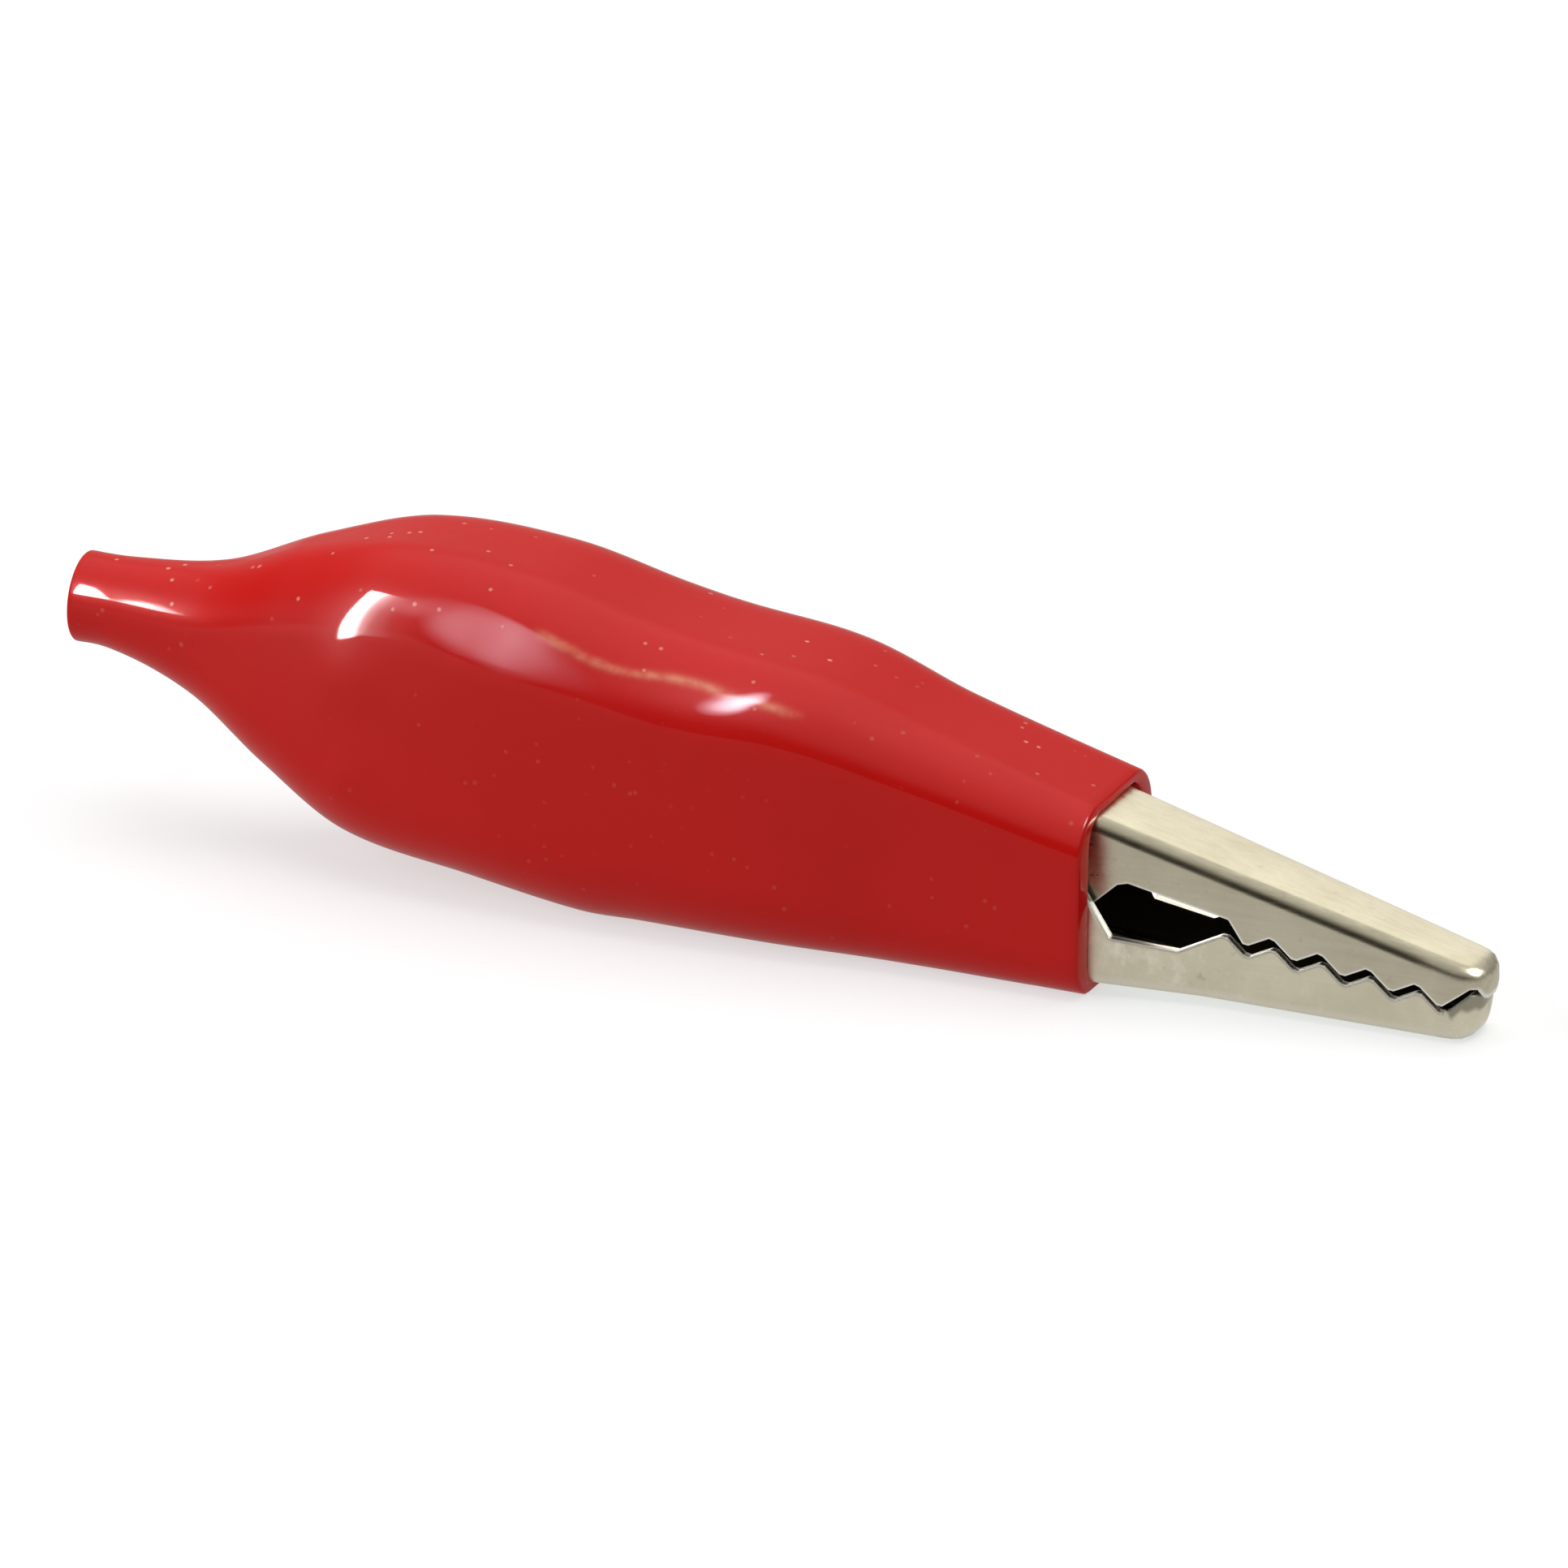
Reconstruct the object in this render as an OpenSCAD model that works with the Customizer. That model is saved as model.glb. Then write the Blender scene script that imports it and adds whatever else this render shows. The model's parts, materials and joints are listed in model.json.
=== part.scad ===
// Insulated crocodile clip: two stamped, toothed jaws on a riveted hinge, held shut by a torsion
// spring and covered by a soft dipped boot whose narrow tail lets the test lead in.
// Millimetres. The clip frame has the hinge at its origin, +X towards the tips and +Z towards the
// moving jaw. Every node is then laid on the table, nose down, as the clip really rests.

/* [Sheet metal] */
// Thickness of the nickel-plated steel sheet
sheet_t = 0.3; // [0.25:0.05:0.4]
// Outer radius of the long folds of both jaws
fold_r = 0.5; // [0.45:0.05:0.7]

/* [Jaws] */
// Hinge to the front of the moving jaw's nose
jaw_len = 19.9; // [19.1:0.2:21.9]
// How far the fixed jaw's nose stays behind that
nose_setback = 0.1; // [0:0.05:0.15]
// Outer width of both jaws just behind the noses
tip_w = 2.6; // [2.4:0.1:3]
// Outer width of the moving jaw at the hinge
ear_w = 3.9; // [3.7:0.1:4.3]
// Plan radius of both noses
nose_r = 1; // [0.8:0.05:1.15]
// Height of the moving jaw above the bite line at the hinge
top_h = 3.6; // [3.45:0.05:3.75]
// Height of the moving jaw above the bite line at the tip
top_tip_h = 1.3; // [1.2:0.05:1.6]
// Depth of the fixed jaw below the bite line at the hinge
bottom_h = 3.55; // [3.4:0.05:3.75]
// Depth of the fixed jaw below the bite line at the tip
bottom_tip_h = 1.2; // [1.1:0.05:1.25]

/* [Teeth] */
// Number of teeth on each side of the moving jaw
teeth = 5; // [4:1:5]
// Distance from tooth to tooth
tooth_pitch = 1.69; // [1.5:0.01:1.8]
// Height of a tooth
tooth_h = 0.44; // [0.3:0.02:0.5]
// Width of the flat at each crest and root
tooth_flat = 0.2; // [0.1:0.05:0.3]
// Height that the closed rows of teeth keep between them
bite_gap = 0.23; // [0.15:0.02:0.31]
// How far the fixed jaw's teeth stand ahead of the middle of the moving jaw's gaps
tooth_lead = 0.1; // [0:0.02:0.16]
// Foremost tooth of the moving jaw to the front of its nose
nose_land = 1.3; // [1.2:0.1:1.6]
// Height of the notch behind the moving jaw's nose, where the fixed jaw's foremost tooth stands
notch_h = 0.7; // [0.5:0.05:0.8]
// Clearance above that tooth
notch_gap = 0.24; // [0.14:0.02:0.3]
// Gap between the closed noses
nose_gap = 0.2; // [0.1:0.02:0.24]

/* [Throat] */
// Length of the throat behind the teeth, along its upper edge
throat_len = 3.5; // [3:0.1:3.8]
// Height of the throat above the bite line, at its rear
throat_up = 1; // [0.9:0.05:1.1]
// Depth of the throat below the bite line, at its rear
throat_down = 0.9; // [0.8:0.05:1]

/* [Hinge] */
// Radius of the rivet's shank
rivet_r = 0.8; // [0.7:0.05:0.9]
// Radius of the rivet's domed head
rivet_head_r = 1.5; // [1.3:0.05:1.7]
// Height of the rivet's domed head
rivet_head_h = 0.5; // [0.4:0.05:0.55]
// Radial clearance of the turning jaw on the rivet
running_gap = 0.04; // [0.02:0.01:0.06]
// Side gap between the ears of the two jaws
ear_gap = 0.06; // [0.04:0.01:0.1]
// Radius of the moving jaw's ears
inner_ear_r = 2.6; // [2.4:0.05:2.8]
// Radius of the fixed jaw's ears
outer_ear_r = 2.9; // [2.7:0.05:3]

/* [Handles] */
// Hinge to the end of both handles
handle_len = 19.6; // [19:0.1:20.4]
// Width of both handles
handle_w = 5.4; // [5:0.1:5.6]
// Height of the upper handle at its shoulder
upper_handle_h = 4.45; // [4.3:0.05:4.7]
// Hinge to the shoulder where the upper handle levels out
shoulder_x = 3.9; // [3.7:0.05:4.3]
// Dip of the upper handle between its shoulder and its end
upper_dip = 0.2; // [0:0.05:0.3]
// Depth of the lower handle at its lowest
lower_handle_h = 5.2; // [5.1:0.05:5.4]
// Depth of the rim that stiffens both handles
rim_h = 1.2; // [0.9:0.1:1.5]
// Outer radius of the rim's fold
rim_fold_r = 1.1; // [0.8:0.1:1.2]
// Plan radius of the handles' rear corners
handle_corner_r = 1.6; // [1.3:0.1:2]

/* [Lead terminal] */
// Terminal screw to the end of the handles
screw_inset = 7.6; // [7.1:0.1:8.6]
// Radius of the screw's thread, an M2.5
screw_r = 1.25; // [1:0.05:1.4]
// Radius of the screw's head
screw_head_r = 2.1; // [1.9:0.05:2.2]
// Height of the screw's head
screw_head_h = 1.2; // [1:0.05:1.5]
// Height of the drawn collar that carries the thread
collar_h = 0.8; // [0.6:0.05:1]
// Wall of that collar
collar_wall = 0.3; // [0.25:0.05:0.4]
// Inner width between the crimp tabs
crimp_w = 2.6; // [2.2:0.1:2.8]
// Height of the crimp tabs above the lower handle
crimp_h = 1.8; // [1.4:0.1:2]
// Length of the crimp tabs
crimp_len = 2.6; // [2:0.1:3]

/* [Spring] */
// Thickness of the spring wire
wire_d = 0.5; // [0.4:0.05:0.55]
// Mean radius of the coil
coil_r = 1.45; // [1.35:0.05:1.6]
// Whole turns of the coil
coil_turns = 3; // [2:1:4]
// Hinge to the ends of the spring's legs
leg_x = 8; // [7:0.25:9]
// Clearance between neighbouring turns and at the ends of the legs
spring_gap = 0.05; // [0.03:0.01:0.08]

/* [Boot] */
// Wall of the soft boot above and below the metal
boot_wall = 0.3; // [0.25:0.05:0.4]
// Wall of the boot at its sides
boot_side = 0.6; // [0.4:0.05:0.65]
// Clearance between the boot and the metal that it is stretched over
boot_gap = 0.08; // [0.06:0.02:0.12]
// Hinge to the mouth of the boot
mouth_x = 6.6; // [6.2:0.1:6.9]
// Outer width of the boot at its mouth
mouth_w = 6.4; // [6.1:0.1:6.6]
// Outer width of the boot at its belly
belly_w = 8.6; // [8.4:0.1:9.2]
// Hinge to the end of the boot's tail
tail_x = 29.8; // [29:0.1:31]
// Radius of the hole for the test lead
lead_r = 1.05; // [0.9:0.05:1.15]
// Wall of the tail
tail_wall = 0.5; // [0.4:0.05:0.55]
// Length of the hole for the test lead
tail_len = 4.6; // [4:0.1:5]
// Height of the level tail's centre line above the table
tail_height = 7.1; // [7:0.05:7.3]

/* [Hidden] */

plated_steel = "#b9b5a0";
spring_steel = "#8f8f8a";
vinyl = "#c4211e";

$fn = 48;
overrun = 0.02;  // how far a cut runs past the face that it opens
far = 35;        // more than any part of the clip reaches

// Half widths of the two pressings, which nest at the hinge
inner_half = ear_w / 2;
outer_half = inner_half + ear_gap + sheet_t;

// Teeth and throat along the bite line, counted back from the noses
front_tooth_x = jaw_len - nose_land;
rear_tooth_x = front_tooth_x - (teeth - 1) * tooth_pitch;
flank = tooth_pitch / 2 - tooth_flat;
bite_z = 0.035;                                  // middle height of the meshed rows at the noses
bite_rise = 0.022;                               // the moving jaw's row rises this much per length rearwards
nose_z = 0.15;                                   // height at which the two noses meet
notch_x = front_tooth_x + 0.98;                  // middle of the notch behind the noses
notch_half = 0.1;
throat_front_x = rear_tooth_x - tooth_flat / 2 - flank;
throat_rear_x = throat_front_x - throat_len;
throat_shelf = 0.78;                             // depth of the throat just behind the first tooth
throat_droop = 0.24;                             // its upper edge falls this much towards the front
throat_corner = [0.35, 0.15];                    // its upper rear corner is cut by this length and height
front_slope = 0.9;                               // run of the throat's front end per unit of height
end_slope = 0.8;                                 // and of its rear end
inner_toe = 1.6;                                 // the ears' front corners lie this far past the bite line
outer_toe = 1.9;

// Plan of the two pressings, as [distance from hinge, half width]
parallel_x = 2;                                  // the moving jaw's sides run parallel up to here
ear_rear_x = -outer_ear_r;
joggle_x = throat_rear_x - 1.4;                  // the fixed jaw's sides start to draw in here
joggle_end_x = throat_front_x - 0.5;             // and lie in line with the moving jaw's from here on
full_width_x = -(shoulder_x + 1.2);              // both handles have their full width behind this
taper = (inner_half - tip_w / 2) / (jaw_len - parallel_x);
upper_plan = [
    [-handle_len, handle_w / 2],
    [full_width_x, handle_w / 2],
    [ear_rear_x, inner_half],
    [parallel_x, inner_half],
    [jaw_len, tip_w / 2]
];
lower_plan = [
    [-handle_len, handle_w / 2],
    [full_width_x, handle_w / 2],
    [ear_rear_x, outer_half],
    [joggle_x, outer_half],
    [joggle_end_x, inner_half - taper * (joggle_end_x - parallel_x)],
    [jaw_len - nose_setback, tip_w / 2]
];

// Height of the upper web and depth of the lower one, as [distance from hinge, height]
collar_r = screw_r + collar_wall;
step_x = 1.4;                                    // the upper handle starts to rise here
dip_x = -9;
screw_x = handle_len - screw_inset;
crest_x = -14.4;                                 // both handles stand furthest apart here
seat_x = collar_r - screw_x;                     // the flat seat of the screw starts here
belly_x = seat_x + 2;
belly_rise = 0.28;                               // the lower handle rises this much from its seat
upper_droop = 0.55;                              // both handles lean in this much at their ends
lower_droop = 0.2;
upper_web = [
    [-handle_len, upper_handle_h - upper_droop],
    [crest_x, upper_handle_h],
    [dip_x, upper_handle_h - upper_dip],
    [-shoulder_x, upper_handle_h],
    [step_x, top_h - (top_h - top_tip_h) * step_x / jaw_len],
    [jaw_len, top_tip_h]
];
lower_web = [
    [-handle_len, lower_handle_h - lower_droop],
    [crest_x, lower_handle_h],
    [seat_x, lower_handle_h],
    [belly_x, lower_handle_h - belly_rise],
    [0, bottom_h],
    [jaw_len - nose_setback, bottom_tip_h]
];

// Outer radius of the folds, which grows from the jaws to the rims of the handles
fold_radii = [
    [full_width_x, rim_fold_r],
    [ear_rear_x, fold_r],
    [jaw_len, fold_r]
];

// The clip rests on the straight underside of its boot, from the belly to the mouth. The mouth is
// cut square to the table, so the form starts in front of it.
boot_over = boot_gap + boot_wall;
front_x = mouth_x + 0.7;
front_low = lookup(front_x, lower_web) + boot_over;
front_high = lookup(front_x, upper_web) + boot_over;
belly_low = lookup(belly_x, lower_web) + boot_over;
rest_slope = (belly_low - front_low) / (front_x - belly_x);
rest_tilt = atan(rest_slope);
rest_flat = 0.1;                                 // how deep the table flattens the soft underside
hinge_low = front_low + front_x * rest_slope;
hinge_height = hinge_low * cos(rest_tilt) - rest_flat;

// Height of the level tail's centre line in the clip frame
function tail_z(x) = (tail_height - hinge_height + x * sin(rest_tilt)) / cos(rest_tilt);

// One row of a boot form around the tail's centre line
function tail_row(x, r) = [x, tail_z(x) - r, tail_z(x) + r, r, r - overrun];

// Boot from its mouth to its tail, as [x, low, high, half width, corner radius]
tail_r = lead_r + tail_wall;
tail_start_x = 1.2 - tail_x;                     // the tail is a plain tube behind this
tail_end_x = -tail_x - 1;                        // and is cut to its length, upright
bore_start_x = tail_len - tail_x;
bore_step = 0.2;                                 // the cavity ends this much wider than the bore
shoulder_high = upper_handle_h + boot_over;
hinge_half = outer_half + rivet_head_h + boot_gap + boot_side + 0.05;
boot_form = [
    [front_x, -front_low, front_high, mouth_w / 2, 1.5],
    [0, -hinge_low, front_high + (shoulder_high - front_high) * 0.6, hinge_half, 2],
    [-shoulder_x, -hinge_low - shoulder_x * rest_slope, shoulder_high, belly_w / 2 - 0.25, 2.4],
    [belly_x, -belly_low, shoulder_high - 0.02, belly_w / 2, 2.8],
    [seat_x, -lower_handle_h - boot_over, shoulder_high + 0.05, belly_w / 2, 2.8],
    [crest_x, -lower_handle_h - boot_over, shoulder_high + 0.36, belly_w / 2 - 0.1, 2.8],
    [-handle_len + 0.6, -lower_handle_h - boot_over + 0.03, shoulder_high - 0.1, belly_w / 2 - 0.6, 2.6],
    [-handle_len - 2.8, -4.45, 3.3, 2.9, 2.5],
    [-handle_len - 5.8, -3, 1.5, 2.1, 1.9],
    tail_row(tail_start_x, tail_r),
    tail_row(tail_end_x, tail_r)
];

// Lays a piece drawn in the clip frame on the table, with the hinge above the origin
module on_table() {
    translate([0, 0, hinge_height]) rotate([0, rest_tilt, 0]) children();
}

// Extrudes a 2D outline in XZ to the same distance on both sides of the middle plane
module across(width) {
    rotate([90, 0, 0]) linear_extrude(width, center = true) children();
}

// Closed solid through rings of equally many points, front to rear
module loft(rings) {
    count = len(rings[0]);
    last = (len(rings) - 1) * count;
    walls = [
        for (i = [0:len(rings) - 2], j = [0:count - 1])
            let (a = i * count + j, b = i * count + (j + 1) % count)
            each [[a, b, b + count], [a, b + count, a + count]]
    ];
    front = [for (j = [count - 1:-1:0]) j];
    rear = [for (j = [0:count - 1]) last + j];
    polyhedron([for (ring = rings) each ring], concat(walls, [front, rear]), convexity = 6);
}

// Section of a folded channel at x, with its web on top: straight sides and rounded folds
fold_steps = 5;
function channel_ring(x, half_w, web, fold) =
    let (
        r = min(fold, half_w - overrun),
        right = [
            for (i = [0:fold_steps])
                let (a = 90 * i / fold_steps)
                [x, half_w - r + r * cos(a), web - r + r * sin(a)]
        ]
    )
    concat(
        [[x, half_w, -far]],
        right,
        [for (i = [fold_steps:-1:0]) [x, -right[i].y, right[i].z]],
        [[x, -half_w, -far]]
    );

// Stations of a pressing as [x, half width], nose first, with both ends rounded in plan.
// bends lists where its form changes between them. depth is the distance inwards from the outside.
corner_steps = 5;
function stations(plan, bends, depth) =
    let (
        nose_x = plan[len(plan) - 1].x,
        nose = nose_r - depth,
        corner = handle_corner_r - depth,
        angles = [for (i = [0:corner_steps]) 90 * i / corner_steps]
    )
    concat(
        [
            for (i = [corner_steps:-1:0])
                let (a = angles[i])
                [nose_x - nose_r + nose * sin(a), tip_w / 2 - nose_r + nose * cos(a)]
        ],
        [for (x = bends) [x, lookup(x, plan) - depth]],
        [
            for (a = angles)
                [
                    handle_corner_r - handle_len - corner * sin(a),
                    handle_w / 2 - handle_corner_r + corner * cos(a)
                ]
        ]
    );

// Height of a pressing's web at x, with the edge over its nose and over its handle's end rounded
function web_height(x, web, fold, depth) =
    let (nose_x = web[len(web) - 1].x, past = max(0, x - (nose_x - fold), -x - (handle_len - fold)))
    lookup(x, web) - fold + sqrt(max(0, pow(fold - depth, 2) - pow(past, 2)));

module pressing_block(plan, web, bends, depth) {
    loft([
        for (s = stations(plan, bends, depth))
            let (fold = lookup(s.x, fold_radii))
            channel_ring(s.x, s.y, web_height(s.x, web, fold, depth), fold - depth)
    ]);
}

// One sheet pressed into a long channel with its web on top, cut off below by its side outline
module pressing(plan, web, bends) {
    intersection() {
        difference() {
            pressing_block(plan, web, bends, 0);
            pressing_block(plan, web, bends, sheet_t);
        }
        across(far) children();
    }
}

// Row of teeth front to rear, as [x, height], with its middle at the given height and slope
function tooth_row(first_x, level, rise) = [
    for (i = [0:teeth - 1])
        let (
            x = first_x - i * tooth_pitch,
            middle = level + i * tooth_pitch * rise,
            tip = middle - tooth_h / 2,
            root = middle + tooth_h / 2
        )
        each [
            [x + tooth_flat / 2 + flank, root],
            [x + tooth_flat / 2, tip],
            [x - tooth_flat / 2, tip],
            [x - tooth_flat / 2 - flank, root]
        ]
];

// Edge of a jaw from its nose to the far side of the notch behind it
function nose_edge(front, nose, notch) = [
    [far, nose],
    [front, nose],
    [notch_x + notch_half, notch],
    [notch_x - notch_half, notch]
];

// Side outline of a jaw: its toothed edge, its round ear with a toe in front, and its handle's rim
ear_steps = 12;
module side_outline(edge, toe, ear_r, rim_x, rim) {
    heel = edge[len(edge) - 1];
    toe_x = heel.x - end_slope * (heel.y + toe);
    // Direction from the hinge in which a line from the toe touches the ear
    touch = atan2(-toe, toe_x) - acos(ear_r / norm([toe_x, toe]));
    ear = [
        for (i = [0:ear_steps])
            let (a = touch - (touch + 180) * i / ear_steps)
            ear_r * [cos(a), sin(a)]
    ];
    polygon(concat(edge, [[toe_x, -toe]], ear, [[rim_x, rim], [-far, rim], [-far, far], [far, far]]));
}

module hinge_hole(r) {
    rotate([90, 0, 0]) cylinder(h = far, r = r, center = true);
}

module upper_jaw() {
    row = tooth_row(front_tooth_x, bite_z + bite_gap / 2, bite_rise);
    heel = row[len(row) - 2];
    front_up = throat_up - throat_droop;
    edge = concat(
        nose_edge(jaw_len, nose_z + nose_gap / 2, notch_h),
        [for (i = [1:len(row) - 2]) row[i]],
        [
            [heel.x - front_slope * (front_up - heel.y), front_up],
            [throat_rear_x, throat_up],
            [throat_rear_x, throat_up] - throat_corner
        ]
    );
    bends = [parallel_x, step_x, ear_rear_x, -shoulder_x, full_width_x, dip_x, crest_x];
    color(plated_steel) on_table() difference() {
        pressing(upper_plan, upper_web, bends)
            side_outline(edge, inner_toe, inner_ear_r, -shoulder_x, upper_handle_h - rim_h);
        hinge_hole(rivet_r + running_gap);
    }
}

// Upright tab at the rear of the lower handle, one of the two that fold over the lead
module crimp_tab() {
    r = crimp_len / 4;
    base = lower_handle_h - lower_droop - sheet_t;
    tab_x = 1.2 - handle_len;
    translate([tab_x, base - crimp_h]) {
        translate([0, r]) square([crimp_len, crimp_h + sheet_t / 2 - r]);
        translate([r, 0]) square([crimp_len - 2 * r, crimp_h]);
        translate([r, r]) circle(r);
        translate([crimp_len - r, r]) circle(r);
    }
}

// Drawn with its web on top as the upper jaw is, then turned over
module lower_jaw() {
    row = tooth_row(front_tooth_x - tooth_pitch / 2 + tooth_lead, bite_gap / 2 - bite_z, 0);
    root = [front_tooth_x + tooth_lead + tooth_flat / 2, row[0].y];
    heel = row[len(row) - 1];
    edge = concat(
        nose_edge(jaw_len - nose_setback, nose_gap / 2 - nose_z, notch_gap - notch_h),
        [root],
        row,
        [
            [heel.x - (throat_shelf - heel.y) * flank / tooth_h, throat_shelf],
            [throat_rear_x - throat_corner.x / 2, throat_down]
        ]
    );
    bends = [joggle_end_x, joggle_x, 0, ear_rear_x, full_width_x, belly_x, seat_x, crest_x];
    seat = lower_handle_h - sheet_t;
    color(plated_steel) on_table() mirror([0, 0, 1]) difference() {
        union() {
            pressing(lower_plan, lower_web, bends)
                side_outline(edge, outer_toe, outer_ear_r, full_width_x, lower_handle_h - rim_h);
            translate([-screw_x, 0, seat - collar_h])
                cylinder(h = collar_h + sheet_t / 2, r = collar_r);
            for (side = [-1, 1])
                translate([0, side * (crimp_w + sheet_t) / 2, 0]) across(sheet_t) crimp_tab();
        }
        hinge_hole(rivet_r);
        translate([-screw_x, 0, 0]) cylinder(h = far, r = screw_r);
    }
}

// Shank through all four ears, a domed head on the near side and a rolled end on the far side
module hinge_rivet() {
    dome_r = (pow(rivet_head_r, 2) + pow(rivet_head_h, 2)) / (2 * rivet_head_h);
    roll_r = 1.25;
    roll_h = 0.4;
    dimple_r = 0.45;
    color(plated_steel) on_table() rotate([90, 0, 0]) {
        cylinder(h = 2 * outer_half, r = rivet_r, center = true);
        intersection() {
            translate([0, 0, outer_half + rivet_head_h - dome_r]) sphere(dome_r);
            translate([0, 0, outer_half]) cylinder(h = far, r = rivet_head_r);
        }
        translate([0, 0, -outer_half]) mirror([0, 0, 1]) rotate_extrude() polygon([
            [0, -overrun],
            [rivet_r, 0],
            [roll_r, 0],
            [roll_r, roll_h / 2],
            [(roll_r + dimple_r) / 2, roll_h],
            [dimple_r, roll_h],
            [0, roll_h / 2]
        ]);
    }
}

// Wire from the end of one leg, round the rivet and out along the other leg
module torsion_spring() {
    wire_r = wire_d / 2;
    seat_gap = sheet_t + wire_r + spring_gap;
    upper_end = [-leg_x, lookup(-leg_x, upper_web) - seat_gap];
    lower_end = [-leg_x, seat_gap - lookup(-leg_x, lower_web)];
    // Angle round the hinge at which a leg leaves the coil
    upper_a = atan2(upper_end.y, upper_end.x) - acos(coil_r / norm(upper_end));
    lower_a = atan2(lower_end.y, lower_end.x) + acos(coil_r / norm(lower_end));
    sweep = upper_a - lower_a + 360 * coil_turns;
    steps = ceil(sweep / 15);
    pitch = wire_d + spring_gap;
    width = pitch * sweep / 360;
    leg_steps = 4;
    function leg_point(end, a, t) = [
        coil_r * cos(a) * (1 - t) + end.x * t,
        coil_r * sin(a) * (1 - t) + end.y * t
    ];
    // Centre line as [x, y, z, direction of the section in XZ]
    line = concat(
        [
            for (i = [0:leg_steps - 1])
                let (p = leg_point(upper_end, upper_a, 1 - i / leg_steps))
                [p.x, width / 2, p.y, upper_a]
        ],
        [
            for (i = [0:steps])
                let (a = upper_a - sweep * i / steps)
                [coil_r * cos(a), width / 2 - width * i / steps, coil_r * sin(a), a]
        ],
        [
            for (i = [1:leg_steps])
                let (p = leg_point(lower_end, lower_a, i / leg_steps))
                [p.x, -width / 2, p.y, lower_a]
        ]
    );
    sides = 8;
    color(spring_steel) on_table() loft([
        for (p = line) [
            for (j = [0:sides - 1])
                let (b = 360 * j / sides, out = wire_r * cos(b))
                [p[0] + out * cos(p[3]), p[1] + wire_r * sin(b), p[2] + out * sin(p[3])]
        ]
    ]);
}

// Cheese-head screw that clamps the bared lead on the lower handle
module terminal_screw() {
    slot_w = 0.5;
    head_z = sheet_t + collar_h - lower_handle_h;
    color(plated_steel) on_table() translate([-screw_x, 0, head_z]) difference() {
        union() {
            translate([0, 0, -collar_h - sheet_t]) cylinder(h = collar_h + sheet_t + overrun, r = screw_r);
            cylinder(h = screw_head_h, r = screw_head_r);
        }
        translate([0, 0, screw_head_h]) cube([far, slot_w, screw_head_h], center = true);
    }
}

// Form of the boot at x, smooth through its stations
function slope(form, i) =
    let (a = form[max(i - 1, 0)], b = form[min(i + 1, len(form) - 1)])
    (b - a) / (b[0] - a[0]);
function form_at(form, x, i = 0) =
    i < len(form) - 2 && x < form[i + 1][0] ? form_at(form, x, i + 1)
    : let (
        a = form[i],
        b = form[i + 1],
        span = b[0] - a[0],
        t = (x - a[0]) / span
    )
    a * (2 * pow(t, 3) - 3 * pow(t, 2) + 1) + b * (3 * pow(t, 2) - 2 * pow(t, 3))
        + slope(form, i) * span * (pow(t, 3) - 2 * pow(t, 2) + t)
        + slope(form, i + 1) * span * (pow(t, 3) - pow(t, 2));

// Rounded rectangle across X for one row of a boot form
form_steps = 6;
function form_ring(f) = [
    for (corner = [0:3], i = [0:form_steps])
        let (
            a = 90 * (corner + i / form_steps),
            side = corner == 0 || corner == 3 ? 1 : -1,
            z = corner < 2 ? f[2] - f[4] : f[1] + f[4]
        )
        [f[0], side * (f[3] - f[4]) + f[4] * cos(a), z + f[4] * sin(a)]
];
ring_step = 0.9;
function form_rings(form) =
    let (
        front = form[0][0],
        length = front - form[len(form) - 1][0],
        count = round(length / ring_step)
    )
    [for (i = [0:count]) form_ring(form_at(form, front - length * i / count))];

// Soft shell with an open mouth and a bored tail, cut upright at both ends and flat below
module boot() {
    cavity_rows = len(boot_form) - 3;
    cavity = concat(
        [
            for (i = [0:cavity_rows - 1])
                boot_form[i] + [0, boot_wall, -boot_wall, -boot_side, -boot_side]
        ],
        [tail_row(bore_start_x, lead_r + bore_step)]
    );
    color(vinyl) difference() {
        on_table() loft(form_rings(boot_form));
        on_table() loft(form_rings(cavity));
        translate([tail_end_x, 0, tail_height]) rotate([0, 90, 0]) cylinder(h = tail_len + 1.5, r = lead_r);
        translate([0, 0, -far]) cube(2 * far, center = true);
        translate([far + mouth_x * cos(rest_tilt), 0, 0]) cube(2 * far, center = true);
        translate([-far - tail_x, 0, 0]) cube(2 * far, center = true);
    }
}

upper_jaw();
lower_jaw();
hinge_rivet();
torsion_spring();
terminal_screw();
boot();
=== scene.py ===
# Insulated crocodile clip lying on a white table: camera, light, soft boot, wire and finishes.
import json
import math

import bpy
import numpy as np
from mathutils import Matrix, Quaternion, Vector


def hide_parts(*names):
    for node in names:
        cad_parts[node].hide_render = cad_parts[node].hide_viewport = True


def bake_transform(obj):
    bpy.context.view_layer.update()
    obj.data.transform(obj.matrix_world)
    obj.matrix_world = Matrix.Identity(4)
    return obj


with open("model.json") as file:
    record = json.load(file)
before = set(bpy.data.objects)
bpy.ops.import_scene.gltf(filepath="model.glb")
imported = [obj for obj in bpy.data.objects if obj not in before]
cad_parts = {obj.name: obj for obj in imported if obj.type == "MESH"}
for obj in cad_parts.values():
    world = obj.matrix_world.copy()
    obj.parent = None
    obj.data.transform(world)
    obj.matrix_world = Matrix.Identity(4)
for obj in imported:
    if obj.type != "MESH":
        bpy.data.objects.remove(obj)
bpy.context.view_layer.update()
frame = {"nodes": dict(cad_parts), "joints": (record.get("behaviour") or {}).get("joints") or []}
nodes = frame["nodes"]
scene = bpy.context.scene
MM = 0.001

# The clip's own frame is tilted nose down about its hinge, as in the solid model
TILT = math.radians(8.08166)
HINGE_Z = frame["joints"][0]["pos_m"][2] / MM


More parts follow.
